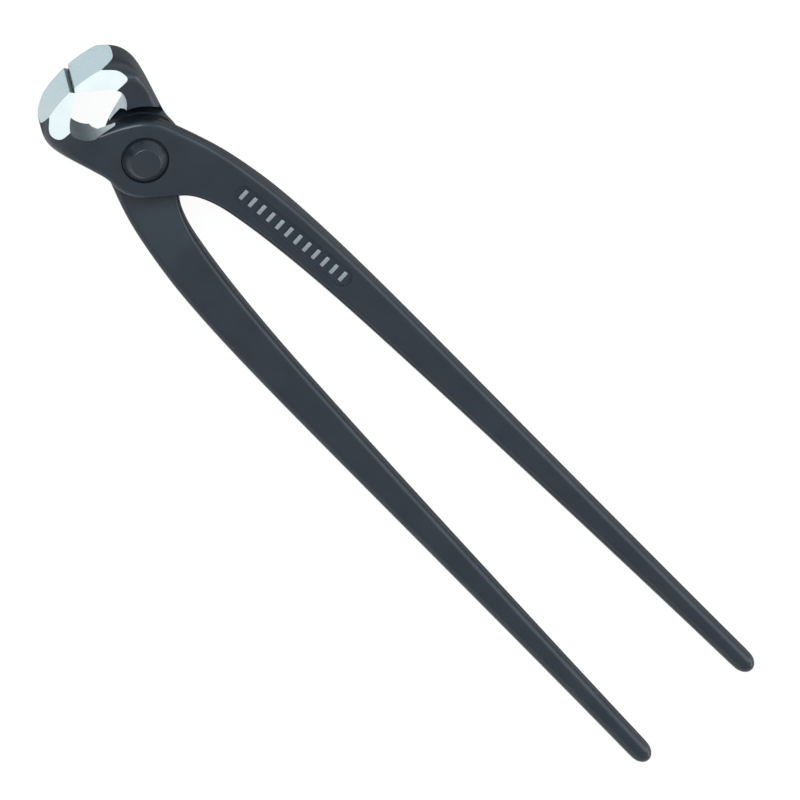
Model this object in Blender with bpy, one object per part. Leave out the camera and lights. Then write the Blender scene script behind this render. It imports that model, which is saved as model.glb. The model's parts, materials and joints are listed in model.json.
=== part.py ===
"""Rebar tying pliers: two identical forged levers crossed at one rivet. Units are metres.

X runs from the pivot to the handle ends, Y points to the front lever's handle and Z points out of
its face. The origin is the middle of the rear rivet head's flat, on the pivot's axis. The front
lever has its jaw on the -Y side. The rear lever is the same forging, turned half a turn about X.
A lever's points are worked out in a frame of its own, whose Z = 0 is the plane where the two meet.
"""

import math

import bmesh
import bpy
from mathutils import Vector
from mathutils.geometry import interpolate_bezier

# Reach of the tool, measured from the pivot's axis
JAW_REACH = 0.0317
HANDLE_REACH = 0.2483
CROTCH_REACH = 0.0160

# Jaws
JAW_HALF_HEIGHT = 0.0170
JAW_HALF_WIDTH = 0.0115
JAW_CORNER_RADIUS = 0.0130
JAW_END_RADIUS = 0.0400
EDGE_BEVEL_DEPTH = 0.0012
EDGE_BEVEL_HALF_WIDTH = 0.0009
THROAT_RADIUS = 0.0074
NECK_RADIUS = 0.0600
NECK_STOCK = 0.0005
NECK_EDGE_RADIUS = 0.0024

# Joint
BOSS_RADIUS = 0.0121
JOINT_HALF_THICKNESS = 0.0071
FORGED_EDGE_RADIUS = 0.0021
NECK_START_WALL = 0.0040
NECK_END_WALL = 0.0010
SHOULDER_STEP = 0.0032
SHOULDER_SLOPE = 0.0012
GROOVE_SLOPE = 0.0009
GROOVE_DEPTH = 0.0026

# Handles
CENTRELINE_OFFSET = 0.01575
CENTRELINE_BOW = 0.01154
CENTRELINE_BOW_LENGTH = 0.0230
HANDLE_END_SPREAD = 0.00505
HANDLE_START = 0.0300
HANDLE_ROOT_WIDTH = 0.0138
HANDLE_END_WIDTH = 0.0065
HANDLE_ROOT_HALF_THICKNESS = 0.00405
HANDLE_END_HALF_THICKNESS = 0.00305
HANDLE_END_EDGE_RADIUS = 0.0030
HANDLE_END_ROUND = 0.0045
FACE_FALL_START = 0.0080
FACE_FALL_END = 0.0720
UNDERSIDE_FALL_START = 0.0120
UNDERSIDE_FALL_END = 0.0320

# Rivet
SHANK_RADIUS = 0.0049
HEAD_RADIUS = 0.0063
HEAD_FLAT_RADIUS = 0.0042
HEAD_HEIGHT = 0.0031
SEAT_DEPTH = 0.0008
SEAT_CHAMFER = 0.0004
HEAD_EDGE = 0.0003

# Marking panel in the face of each lever's handle
PANEL_START = 0.0281
PANEL_END = 0.0676
PANEL_WIDTH = 0.0057
PANEL_DEPTH = 0.0006
PANEL_OFFSET = 0.0003
BAR_LENGTH = 0.0034
BAR_WIDTH = 0.0013
BAR_COUNT = 12

# Clearances between pieces, and how far a cutting tool runs past what it cuts
LAP_GAP = 0.0003
POCKET_GAP = 0.0006
EDGE_GAP = 0.0003
FIT_GAP = 0.0003
OVERRUN = 0.0080

# Widths of the handle fall off along its length by this power
WIDTH_POWER = 1.35

# Segments of round shapes and of the handle's length
CORNER_SEGMENTS = 5
ARC_SEGMENTS = 16
TURN_SEGMENTS = 64
HANDLE_SEGMENTS = 22
FLANK_POINTS = 13

# The jaw's forged blank, from the ground end to the neck. Each row holds a place as a share of the
# jaw's reach, the outline as a share of its half height, the flare as a share of the step from the
# joint's half thickness to the jaw's half width, and the shares of the jaw corner's radius for the
# corners of the outer face and of the inner face.
JAW_SHARES = (
    (1.032, 0.675, 2.07, 1.00, 1.00),
    (0.961, 0.773, 2.02, 1.00, 1.00),
    (0.903, 0.872, 2.00, 0.92, 0.92),
    (0.845, 0.936, 1.86, 0.77, 0.77),
    (0.781, 0.983, 1.39, 0.61, 0.58),
    (0.703, 1.000, 0.93, 0.43, 0.26),
    (0.600, 0.975, 0.47, 0.28, 0.16),
    (0.484, 0.924, 0.13, 0.18, 0.14),
)
BLANK_SIDE_SHARE = 0.18

# The hollow behind the cutting edge: two curve handles and the crease where the throat starts, as
# shares of the jaw's reach and of its half height
HOLLOW_SHARES = ((0.849, 0.209), (0.768, 0.616))
CREASE_SHARES = (0.627, 0.555)

# How far the handles of the crotch's curve and of the flank's curve reach, as shares of their spans
CROTCH_CURVE_SHARES = (0.25, 0.40)
FLANK_CURVE_SHARE = 0.45
THIRD_SHARES = (1 / 3, 2 / 3)

# The largest corner radius as a share of a section, the step that finds an edge's slope as a share
# of the handle's reach, and the distance of points that are merged as a share of a clearance
CORNER_LIMIT_SHARE = 0.49
SLOPE_STEP_SHARE = 0.001
MERGE_SHARE = 0.01

# Angles about the pivot, in degrees, of the boss's points on the two sides of the front lever
NECK_START_ANGLE = 202.0
NECK_END_ANGLE = 172.0
BOSS_LOWER_ANGLE = 258.0
BOSS_UPPER_ANGLES = (156.0, 141.0, 125.0)
FLANK_ANGLE = 111.5

# The boss's lower points, as shares of the way from its first one to the crotch's line
BOSS_LOWER_SHARES = (0.0, 0.2, 0.43, 0.65, 0.87)

# Angles of the sections round the handle's end, and the angle past which an edge stays sharp
END_ROUND_ANGLES = (18.0, 34.0, 48.0, 60.0, 71.0, 80.0)
SHARP_ANGLE = 30.0

FULL_TURN = 360.0
EMPTY_NAME = "pivot_axis"


def on_circle(radius, degrees):
    """A point of the plan view at a radius and an angle about the pivot."""
    angle = math.radians(degrees)
    return Vector((radius * math.cos(angle), radius * math.sin(angle)))


def arc(start, end, radius, segments=ARC_SEGMENTS):
    """Points along a circle's short arc that bulges to the right of the way from start to end."""
    chord = end - start
    half = chord.length / 2
    normal = Vector((-chord.y, chord.x)).normalized()
    centre = (start + end) / 2 + normal * math.sqrt(radius * radius - half * half)
    first = start - centre
    turn = 2 * math.asin(half / radius)
    points = []
    for index in range(segments + 1):
        angle = turn * index / segments
        points.append(centre + Vector((
            first.x * math.cos(angle) - first.y * math.sin(angle),
            first.x * math.sin(angle) + first.y * math.cos(angle),
        )))
    return points


def curve(start, start_handle, end_handle, end, count):
    """Points along a Bezier curve in the plan view."""
    ends = [point.to_3d() for point in (start, start_handle, end_handle, end)]
    return [point.to_2d() for point in interpolate_bezier(*ends, count)]


def handle_centre(x):
    """Distance of a handle's centreline from the tool's middle plane."""
    bow = CENTRELINE_BOW * math.exp(-x / CENTRELINE_BOW_LENGTH)
    return CENTRELINE_OFFSET + HANDLE_END_SPREAD * x / HANDLE_REACH - bow


def handle_width(x):
    """Width of the handle in the plan view."""
    rest = (HANDLE_REACH - x) / (HANDLE_REACH - HANDLE_START)
    return HANDLE_END_WIDTH + (HANDLE_ROOT_WIDTH - HANDLE_END_WIDTH) * max(rest, 0) ** WIDTH_POWER


def handle_half_thickness(x):
    """Half the handle's thickness, which falls evenly from root to end."""
    share = min(max((x - FACE_FALL_END) / (HANDLE_REACH - FACE_FALL_END), 0), 1)
    return HANDLE_ROOT_HALF_THICKNESS + share * (HANDLE_END_HALF_THICKNESS - HANDLE_ROOT_HALF_THICKNESS)


def face_height(x):
    """Height of the outer face, which falls from the boss to the handle along a plane."""
    share = min(max((x - FACE_FALL_START) / (FACE_FALL_END - FACE_FALL_START), 0), 1)
    return JOINT_HALF_THICKNESS + share * (handle_half_thickness(x) - JOINT_HALF_THICKNESS)


def underside_depth(x):
    """Depth of the inner face below the plane of the joint, which grows from none to the handle's."""
    share = min(max((x - UNDERSIDE_FALL_START) / (UNDERSIDE_FALL_END - UNDERSIDE_FALL_START), 0), 1)
    return share * handle_half_thickness(x)


def handle_edge(x, side):
    """A point on the handle's outer edge, for side 1, or on its inner edge, for side -1."""
    return Vector((x, handle_centre(x) + side * handle_width(x) / 2))


def edge_slope(x, side):
    """Direction of the handle's edge at x."""
    step = HANDLE_REACH * SLOPE_STEP_SHARE
    return (handle_edge(x + step, side) - handle_edge(x - step, side)).normalized()


def crotch_tangent():
    """Angle, in degrees, at which a line from the crotch touches the boss."""
    return -math.degrees(math.acos(min(BOSS_RADIUS / CROTCH_REACH, 1)))


def neck_ends():
    """Where the neck starts beside the throat, and where its ground side runs out at the boss."""
    start = on_circle(BOSS_RADIUS + NECK_START_WALL, NECK_START_ANGLE)
    end = on_circle(BOSS_RADIUS + NECK_END_WALL, NECK_END_ANGLE)
    return start, end


def lower_edge():
    """The jaw's outer edge, the boss's lower edge and the handle's inner edge, up to its start."""
    jaw = [Vector((-JAW_REACH * x, -JAW_HALF_HEIGHT * y)) for x, y, *_ in JAW_SHARES]
    turn = (crotch_tangent() - BOSS_LOWER_ANGLE) % FULL_TURN
    boss = [on_circle(BOSS_RADIUS, BOSS_LOWER_ANGLE + turn * share) for share in BOSS_LOWER_SHARES]
    neck = [jaw[-1].lerp(boss[0], share) for share in THIRD_SHARES]
    touch = on_circle(BOSS_RADIUS, crotch_tangent())
    crotch = Vector((CROTCH_REACH, FIT_GAP / 2))
    line = [touch.lerp(crotch, share) for share in (0, *THIRD_SHARES)]
    way = (crotch - touch).normalized()
    root = handle_edge(HANDLE_START, -1)
    span = (root - crotch).length
    first, last = CROTCH_CURVE_SHARES
    count = FLANK_POINTS + len(BOSS_UPPER_ANGLES) - len(boss) - len(line)
    inner = curve(crotch, crotch + way * span * first,
                  root - edge_slope(HANDLE_START, -1) * span * last, root, count)
    return jaw + neck + boss + line + inner


def upper_edge():
    """The edge on the other side of the same sections: blank, neck, boss and handle's outer edge."""
    side = JAW_HALF_HEIGHT * BLANK_SIDE_SHARE
    jaw = [Vector((-JAW_REACH * x, side)) for x, *_ in JAW_SHARES[:-1]]
    start, end = neck_ends()
    neck = [start - Vector((NECK_STOCK, 0)), (start + end) / 2 - Vector((NECK_STOCK, 0)), end]
    boss = [on_circle(BOSS_RADIUS, angle) for angle in BOSS_UPPER_ANGLES]
    start = on_circle(BOSS_RADIUS, FLANK_ANGLE)
    way = on_circle(1, FLANK_ANGLE - 90)
    root = handle_edge(HANDLE_START, 1)
    reach = (root - start).length * FLANK_CURVE_SHARE
    flank = curve(start, start + way * reach, root - edge_slope(HANDLE_START, 1) * reach, root,
                  FLANK_POINTS)
    return jaw + neck + boss + flank


def rounded_section(low, high, bottom, top, low_radius, foot_radius, high_radius):
    """A ring of points for one section, with rounded corners, standing on the plan view's line."""
    along = high - low
    width = along.length
    along.normalize()
    most = CORNER_LIMIT_SHARE * (top - bottom)
    high_radius = min(high_radius, CORNER_LIMIT_SHARE * width, most)
    room = 2 * CORNER_LIMIT_SHARE * width - high_radius
    low_radius = min(low_radius, room, most)
    foot_radius = min(foot_radius, room, most)
    corners = (
        (foot_radius, bottom + foot_radius, foot_radius, 180),
        (width - high_radius, bottom + high_radius, high_radius, 270),
        (width - high_radius, top - high_radius, high_radius, 0),
        (low_radius, top - low_radius, low_radius, 90),
    )
    ring = []
    for across, height, radius, first in corners:
        for index in range(CORNER_SEGMENTS + 1):
            turned = on_circle(radius, first + 90 * index / CORNER_SEGMENTS)
            place = low + along * (across + turned.x)
            ring.append(Vector((place.x, place.y, height + turned.y)))
    return ring


def head_sections():
    """Sections of the jaw, the boss and the handle's root."""
    low = lower_edge()
    high = upper_edge()
    neck = high[len(JAW_SHARES) - 1:len(JAW_SHARES) + 2]
    flare = JAW_HALF_WIDTH - JOINT_HALF_THICKNESS
    sections = []
    for index, (low_point, high_point) in enumerate(zip(low, high)):
        middle = (low_point.x + high_point.x) / 2
        top = face_height(middle)
        bottom = -JOINT_HALF_THICKNESS
        radius = foot_radius = high_radius = FORGED_EDGE_RADIUS
        if index < len(JAW_SHARES):
            _, _, flare_share, corner_share, foot_share = JAW_SHARES[index]
            top = JOINT_HALF_THICKNESS + flare * flare_share
            bottom = -top
            radius = JAW_CORNER_RADIUS * corner_share
            foot_radius = JAW_CORNER_RADIUS * foot_share
        elif middle > 0:
            bottom = -underside_depth(middle)
        if high_point in neck:
            high_radius = NECK_EDGE_RADIUS
        sections.append(rounded_section(low_point, high_point, bottom, top, radius, foot_radius,
                                        high_radius))
    return sections


def handle_sections():
    """Sections of the handle, from its start to its rounded end."""
    straight = HANDLE_REACH - HANDLE_END_ROUND
    pitch = (straight - HANDLE_START) / HANDLE_SEGMENTS
    places = [(HANDLE_START + pitch * index, 1) for index in range(1, HANDLE_SEGMENTS + 1)]
    for degrees in END_ROUND_ANGLES:
        angle = math.radians(degrees)
        places.append((straight + HANDLE_END_ROUND * math.sin(angle), math.cos(angle)))
    sections = []
    for x, scale in places:
        share = (x - HANDLE_START) / (HANDLE_REACH - HANDLE_START)
        radius = FORGED_EDGE_RADIUS + share * (HANDLE_END_EDGE_RADIUS - FORGED_EDGE_RADIUS)
        centre = handle_centre(x)
        half_width = handle_width(x) / 2 * scale
        low = Vector((x, centre - half_width))
        high = Vector((x, centre + half_width))
        bottom = -underside_depth(x) * scale
        top = face_height(x) * scale
        sections.append(rounded_section(low, high, bottom, top, radius, radius, radius))
    return sections


def skin(name, rings):
    """A closed mesh over a row of rings that all hold the same number of points."""
    mesh = bmesh.new()
    loops = [[mesh.verts.new(point) for point in ring] for ring in rings]
    for near, far in zip(loops, loops[1:]):
        count = len(near)
        for index in range(count):
            after = (index + 1) % count
            mesh.faces.new((near[index], near[after], far[after], far[index]))
    mesh.faces.new(loops[0])
    mesh.faces.new(loops[-1])
    return finish(name, mesh)


def finish(name, mesh):
    """Turns the faces outward and makes an object of the mesh."""
    bmesh.ops.recalc_face_normals(mesh, faces=mesh.faces)
    data = bpy.data.meshes.new(name)
    mesh.to_mesh(data)
    mesh.free()
    shape = bpy.data.objects.new(name, data)
    bpy.context.scene.collection.objects.link(shape)
    return shape


def prism(name, outline, floor, ceiling):
    """A solid over an outline of the plan view, between two heights that may follow x."""
    low = [Vector((point.x, point.y, floor(point.x))) for point in outline]
    high = [Vector((point.x, point.y, ceiling(point.x))) for point in outline]
    return skin(name, [low, high])


def flat(height):
    """A height that is the same everywhere."""
    return lambda x: height


def turned(name, profile):
    """A solid turned about the pivot's axis from points given as radius and height."""
    mesh = bmesh.new()
    verts = [mesh.verts.new((radius, 0, height)) for radius, height in profile]
    edges = [mesh.edges.new(pair) for pair in zip(verts, verts[1:])]
    bmesh.ops.spin(mesh, geom=verts + edges, cent=(0, 0, 0), axis=(0, 0, 1),
                   angle=2 * math.pi, steps=TURN_SEGMENTS, use_merge=True)
    bmesh.ops.remove_doubles(mesh, verts=mesh.verts, dist=FIT_GAP * MERGE_SHARE)
    return finish(name, mesh)


def lap_recess():
    """The round pocket in which the other lever's boss turns."""
    radius = BOSS_RADIUS + POCKET_GAP
    ceiling = LAP_GAP / 2
    low = -JAW_HALF_WIDTH - OVERRUN
    return turned("lap_recess_cutter", ((0, ceiling), (radius, ceiling), (radius, low), (0, low)))


def shoulder_recess():
    """The wider dish on the jaw's side, with a groove round the boss and a sloped wall."""
    radius = BOSS_RADIUS + FIT_GAP
    foot = BOSS_RADIUS + SHOULDER_STEP
    wall = foot + SHOULDER_SLOPE
    ceiling = LAP_GAP / 2
    low = -JAW_HALF_WIDTH - OVERRUN
    profile = (
        (0, ceiling),
        (radius, ceiling),
        (radius + GROOVE_SLOPE, ceiling + GROOVE_DEPTH),
        (foot, ceiling),
        (wall, -JOINT_HALF_THICKNESS),
        (wall, low),
        (0, low),
    )
    dish = turned("shoulder_recess_cutter", profile)
    mesh = bmesh.new()
    mesh.from_mesh(dish.data)
    cut = bmesh.ops.bisect_plane(mesh, geom=mesh.verts[:] + mesh.edges[:] + mesh.faces[:],
                                 plane_co=(0, 0, 0), plane_no=(1, 0, 0), clear_outer=True)
    rim = [part for part in cut["geom_cut"] if isinstance(part, bmesh.types.BMEdge)]
    bmesh.ops.contextual_create(mesh, geom=rim)
    bmesh.ops.recalc_face_normals(mesh, faces=mesh.faces)
    mesh.to_mesh(dish.data)
    mesh.free()
    return dish


def crotch_recess():
    """The same recess where the other lever's boss runs out to the crotch between the handles."""
    angle = crotch_tangent()
    outline = (
        Vector((0, 0)),
        on_circle(BOSS_RADIUS + FIT_GAP, angle),
        Vector((CROTCH_REACH + FIT_GAP, 0)),
        on_circle(BOSS_RADIUS + FIT_GAP, -angle),
    )
    low = -JAW_HALF_WIDTH - OVERRUN
    return prism("crotch_recess_cutter", outline, flat(low), flat(LAP_GAP / 2))


def throat():
    """The open side of the jaw: edge bevel, hollow behind the edge, throat and neck, in one outline."""
    tip = Vector((EDGE_BEVEL_DEPTH - JAW_REACH, -EDGE_GAP / 2))
    bevel = Vector((-EDGE_BEVEL_DEPTH, -EDGE_BEVEL_HALF_WIDTH))
    past = tip + bevel * (1 + OVERRUN / EDGE_BEVEL_DEPTH)
    first, second = (Vector((-JAW_REACH * x, -JAW_HALF_HEIGHT * y)) for x, y in HOLLOW_SHARES)
    crease = Vector((-JAW_REACH * CREASE_SHARES[0], -JAW_HALF_HEIGHT * CREASE_SHARES[1]))
    neck_start, neck_end = neck_ends()
    outline = [past]
    outline += curve(tip, first, second, crease, ARC_SEGMENTS)
    outline += arc(crease, neck_start, THROAT_RADIUS)[1:]
    outline += list(reversed(arc(neck_end, neck_start, NECK_RADIUS)))[1:]
    beyond = JAW_HALF_HEIGHT * BLANK_SIDE_SHARE + OVERRUN
    outline.append(Vector((neck_end.x, beyond)))
    outline.append(Vector((past.x, beyond)))
    height = 2 * JAW_HALF_WIDTH + OVERRUN
    return prism("throat_cutter", outline, flat(-height), flat(height))


def end_grind():
    """Everything beyond the jaw's ground end, which is slightly round in the plan view."""
    half = JAW_HALF_HEIGHT + OVERRUN
    half_angle = math.degrees(math.asin(min(half / JAW_END_RADIUS, 1)))
    centre = Vector((JAW_END_RADIUS - JAW_REACH, 0))
    outline = []
    for index in range(2 * ARC_SEGMENTS + 1):
        turn = half_angle * (index / ARC_SEGMENTS - 1)
        outline.append(centre + on_circle(JAW_END_RADIUS, 180 + turn))
    outline.append(Vector((-JAW_REACH - OVERRUN, -half)))
    outline.append(Vector((-JAW_REACH - OVERRUN, half)))
    height = 2 * JAW_HALF_WIDTH + OVERRUN
    return prism("end_cutter", outline, flat(-height), flat(height))


def side_grinds():
    """The two flats ground on the sides of the jaw."""
    near = -BOSS_RADIUS - SHOULDER_STEP
    far = -JAW_REACH - OVERRUN
    half = JAW_HALF_HEIGHT + OVERRUN
    outline = (Vector((far, -half)), Vector((near, -half)), Vector((near, half)), Vector((far, half)))
    height = 2 * JAW_HALF_WIDTH + OVERRUN
    return [
        prism("upper_side_cutter", outline, flat(JAW_HALF_WIDTH), flat(height)),
        prism("lower_side_cutter", outline, flat(-height), flat(-JAW_HALF_WIDTH)),
    ]


def rivet_hole():
    """The rivet's hole with the shallow, chamfered seat of its head."""
    seat = JOINT_HALF_THICKNESS - SEAT_DEPTH
    hole = SHANK_RADIUS + FIT_GAP
    wide = HEAD_RADIUS + FIT_GAP
    low = -JOINT_HALF_THICKNESS - OVERRUN
    high = JOINT_HALF_THICKNESS + OVERRUN
    rim = wide + SEAT_CHAMFER
    profile = ((0, low), (hole, low), (hole, seat), (wide, seat), (rim, JOINT_HALF_THICKNESS),
               (rim, high), (0, high))
    return turned("rivet_hole_cutter", profile)


def panel_line():
    """The two ends of the marking panel's middle line."""
    start = Vector((PANEL_START, handle_centre(PANEL_START) + PANEL_OFFSET))
    end = Vector((PANEL_END, handle_centre(PANEL_END) + PANEL_OFFSET))
    return start, end


def panel_floor(x):
    """Height of the marking panel's floor."""
    return face_height(x) - PANEL_DEPTH


def panel():
    """The marking panel: a shallow recess with round ends."""
    start, end = panel_line()
    way = math.degrees(math.atan2(end.y - start.y, end.x - start.x))
    outline = []
    for middle, first in ((end, way - 90), (start, way + 90)):
        for index in range(ARC_SEGMENTS + 1):
            turn = 180 * index / ARC_SEGMENTS
            outline.append(middle + on_circle(PANEL_WIDTH / 2, first + turn))
    return prism("panel_cutter", outline, panel_floor, lambda x: face_height(x) + OVERRUN)


def panel_bars():
    """A row of plain raised bars on the panel's floor, level with the face around it."""
    start, end = panel_line()
    along = (end - start).normalized()
    across = Vector((-along.y, along.x))
    half_width = along * BAR_WIDTH / 2
    half_length = across * BAR_LENGTH / 2
    pitch = (end - start) / (BAR_COUNT - 1)
    bars = []
    for index in range(BAR_COUNT):
        middle = start + pitch * index
        outline = [middle + half_width * i + half_length * j
                   for i, j in ((-1, -1), (1, -1), (1, 1), (-1, 1))]
        bars.append(prism("bar", outline, lambda x: panel_floor(x) - PANEL_DEPTH, face_height))
    return bars


def combine(body, tools, operation):
    """Adds a Boolean for each tool, which is then left out of the model."""
    for tool in tools:
        tool.hide_render = True
        tool.display_type = "WIRE"
        step = body.modifiers.new(tool.name, "BOOLEAN")
        step.operation = operation
        step.object = tool
        step.solver = "EXACT"


def lever_mesh():
    """The forged and ground lever, as one mesh for both levers."""
    body = skin("lever_blank", head_sections() + handle_sections())
    cutters = [lap_recess(), shoulder_recess(), crotch_recess(), throat(), end_grind(),
               *side_grinds(), rivet_hole(), panel()]
    bars = panel_bars()
    combine(body, cutters, "DIFFERENCE")
    combine(body, bars, "UNION")
    depsgraph = bpy.context.evaluated_depsgraph_get()
    mesh = bpy.data.meshes.new_from_object(body.evaluated_get(depsgraph))
    mesh.name = "lever"
    for shape in (body, *cutters, *bars):
        bpy.data.objects.remove(shape)
    shade(mesh)
    return mesh


def shade(mesh):
    """Smooth shading with sharp edges kept sharp."""
    mesh.shade_smooth()
    mesh.set_sharp_from_angle(angle=math.radians(SHARP_ANGLE))


def material(name, colour, roughness, metallic):
    """A Principled material."""
    new = bpy.data.materials.new(name)
    new.use_nodes = True
    shader = new.node_tree.nodes["Principled BSDF"]
    shader.inputs["Base Color"].default_value = (*colour, 1)
    shader.inputs["Roughness"].default_value = roughness
    shader.inputs["Metallic"].default_value = metallic
    return new


def pivot_axis():
    """The empty on the joint's axis, in the plane where the levers meet."""
    axis = bpy.data.objects.new(EMPTY_NAME, None)
    axis.location = (0, 0, JOINT_HALF_THICKNESS + HEAD_HEIGHT)
    bpy.context.scene.collection.objects.link(axis)
    return axis


def lever(name, mesh, axis, half_turn, finish_material):
    """One lever on the pivot's axis."""
    shape = bpy.data.objects.new(name, mesh)
    bpy.context.scene.collection.objects.link(shape)
    shape.parent = axis
    shape.rotation_euler.x = math.pi if half_turn else 0
    if not mesh.materials:
        mesh.materials.append(finish_material)
    return shape


def pivot_rivet(axis, finish_material):
    """The rivet: a shank with a cone-shaped head with a flat top at each end."""
    seat = JOINT_HALF_THICKNESS - SEAT_DEPTH + FIT_GAP
    top = JOINT_HALF_THICKNESS + HEAD_HEIGHT
    half = (
        (SHANK_RADIUS, seat),
        (HEAD_RADIUS, seat),
        (HEAD_RADIUS, JOINT_HALF_THICKNESS + HEAD_EDGE),
        (HEAD_FLAT_RADIUS + HEAD_EDGE, top - HEAD_EDGE),
        (HEAD_FLAT_RADIUS, top),
        (0, top),
    )
    profile = [(radius, -height) for radius, height in reversed(half)] + list(half)
    shape = turned("pivot_rivet", profile)
    shade(shape.data)
    shape.parent = axis
    shape.data.materials.append(finish_material)
    return shape


def main():
    for old in list(bpy.data.objects):
        bpy.data.objects.remove(old)
    axis = pivot_axis()
    forging = lever_mesh()
    black = material("black_steel", (0.036, 0.043, 0.050), 0.42, 0.7)
    rivet_steel = material("rivet_steel", (0.032, 0.037, 0.043), 0.40, 0.7)
    lever("front_lever", forging, axis, False, black)
    lever("rear_lever", forging, axis, True, black)
    pivot_rivet(axis, rivet_steel)


main()
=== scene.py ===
"""Rebar tying pliers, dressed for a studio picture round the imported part.

The part lies on its rear side: X runs from the pivot to the handle ends, Y to the front lever's
handle and Z up, out of the front lever's face. A lever is modelled in a frame of its own, whose
Z = 0 is the plane where the two levers meet, and is then put in its place. Units are metres.
"""

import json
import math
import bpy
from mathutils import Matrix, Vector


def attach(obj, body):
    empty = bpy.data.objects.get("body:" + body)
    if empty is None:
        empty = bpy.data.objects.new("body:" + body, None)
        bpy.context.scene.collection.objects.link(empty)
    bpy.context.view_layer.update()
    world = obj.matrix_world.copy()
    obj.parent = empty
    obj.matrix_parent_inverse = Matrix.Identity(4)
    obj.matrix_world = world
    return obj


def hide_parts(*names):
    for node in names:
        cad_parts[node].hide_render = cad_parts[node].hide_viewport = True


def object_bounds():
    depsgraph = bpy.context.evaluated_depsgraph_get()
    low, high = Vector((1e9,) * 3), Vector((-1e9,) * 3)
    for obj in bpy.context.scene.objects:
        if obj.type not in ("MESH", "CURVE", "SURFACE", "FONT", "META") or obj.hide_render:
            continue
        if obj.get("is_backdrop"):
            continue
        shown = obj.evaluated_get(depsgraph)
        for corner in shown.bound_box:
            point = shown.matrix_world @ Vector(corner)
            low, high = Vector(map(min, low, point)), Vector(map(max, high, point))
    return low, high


bl_info = {
    "name": "Rebar Tying Pliers",
    "version": (1, 0, 0),
    "blender": (4, 5, 0),
    "location": "3D View > Sidebar > Pliers",
    "description": "Models the levers, the rivet and the studio of a pair of rebar tying pliers",
    "category": "Add Mesh",
}

import bmesh
import bpy
from bpy.props import FloatProperty, FloatVectorProperty, IntProperty, PointerProperty
from mathutils import Matrix, Vector
from mathutils.geometry import interpolate_bezier

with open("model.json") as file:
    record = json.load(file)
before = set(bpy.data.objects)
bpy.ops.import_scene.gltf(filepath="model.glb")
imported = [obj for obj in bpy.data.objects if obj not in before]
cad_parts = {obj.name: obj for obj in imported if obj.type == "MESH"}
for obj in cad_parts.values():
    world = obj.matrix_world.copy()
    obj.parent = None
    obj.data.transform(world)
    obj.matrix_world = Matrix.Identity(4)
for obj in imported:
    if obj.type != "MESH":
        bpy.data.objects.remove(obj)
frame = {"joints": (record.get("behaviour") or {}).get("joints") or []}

CAD_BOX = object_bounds()
PIVOT = Vector(frame["joints"][0]["pos_m"])

# The jaw's forged blank from its ground end to the neck. Each row holds a place as a share of the
# jaw's reach, the outline as a share of its half height, the flare as a share of the step from the
# joint's half thickness to the jaw's half width, and the shares of the corner radius for the
# corners of the outer face and of the inner face.
JAW_SHARES = (
    (1.032, 0.675, 2.07, 1.00, 1.00),
    (0.961, 0.773, 2.02, 1.00, 1.00),
    (0.903, 0.872, 2.00, 0.92, 0.92),
    (0.845, 0.936, 1.86, 0.77, 0.77),
    (0.781, 0.983, 1.39, 0.61, 0.58),
    (0.703, 1.000, 0.93, 0.43, 0.26),
    (0.600, 0.975, 0.47, 0.28, 0.16),
    (0.484, 0.924, 0.13, 0.18, 0.14),
)

# Where the throat, the neck, the boss and the handle's root lie: shares, and angles in degrees
BLANK_SIDE_SHARE = 0.18
HOLLOW_SHARES = ((0.849, 0.209), (0.768, 0.616))
CREASE_SHARES = (0.627, 0.555)
CROTCH_CURVE_SHARES = (0.25, 0.40)
FLANK_CURVE_SHARE = 0.45
BOSS_LOWER_SHARES = (0.0, 0.2, 0.43, 0.65, 0.87)
BOSS_LOWER_ANGLE = 258.0
BOSS_UPPER_ANGLES = (156.0, 141.0, 125.0)
NECK_START_ANGLE = 202.0
NECK_END_ANGLE = 172.0
FLANK_ANGLE = 111.5
END_ROUND_ANGLES = (18.0, 34.0, 48.0, 60.0, 71.0, 80.0)
FLANK_POINTS = 13
THIRD_SHARES = (1 / 3, 2 / 3)
SLOPE_STEP_SHARE = 0.001

# Roundings as shares of a size, and the least angle in degrees of an edge that is broken
CORNER_LIMIT_SHARE = 0.49
PANEL_CORNER_SHARE = 0.998
PANEL_FOOT_SHARE = 0.25
BAR_EDGE_SHARE = 0.22
RIVET_EDGE_SHARE = 2.0
SHARP_ANGLE = 28.0

# Size of the cutters against the jaw's half width, and how a side's cutter is stretched
CUTTER_SHARE = 2.0
SIDE_CUTTER_STRETCH = (1.0, 2.0, 1.0)

# How finely the shapes are divided
SECTION_SEGMENTS = 8
HANDLE_PITCHES = 40
SUBDIVISIONS = 2
CURVE_POINTS = 48
END_CURVE_POINTS = 96
TURN_STEPS = 160
EDGE_SEGMENTS = 2
RIVET_EDGE_SEGMENTS = 3
BAR_EDGE_SEGMENTS = 3
PANEL_CORNER_SEGMENTS = 16
PANEL_FOOT_SEGMENTS = 4
MERGE_DISTANCE = 1e-6

# Black oxide: waves to the metre, tones as shares of the full tone, roughness and film of oil
NOISE_MIDDLE = 0.5
GRAIN_WAVES = 2400.0
PIT_WAVES = 7000.0
PATCH_WAVES = 90.0
GRAIN_DETAIL = 4.0
PIT_DETAIL = 2.0
PATCH_DETAIL = 4.0
PATCH_RISE = (0.3, 0.7)
FLANK_RISE = (0.005, 0.16)
GRAIN_TONE_SHARE = 0.7
PATCH_TONE_SHARE = 0.3
DEEP_TONE_SHARE = 0.70
# The flanks' darker tone is painted shade.
FLANK_PAINTED_SHADE_SHARE = 0.3
PATCH_ROUGHNESS = 0.02
GRAIN_ROUGHNESS = 0.12
FLANK_ROUGHNESS = 0.95
FORGED_SHEEN = 0.50
RUBBED_SHEEN = 0.36
RIVET_SHEEN = 0.36
FORGED_OIL = 0.32
RIVET_OIL = 0.44
FLANK_OIL = 0.10
PATCH_OIL = 0.08
OIL_ROUGHNESS = 0.16
OXIDE_SPECULAR = 0.18
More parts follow.
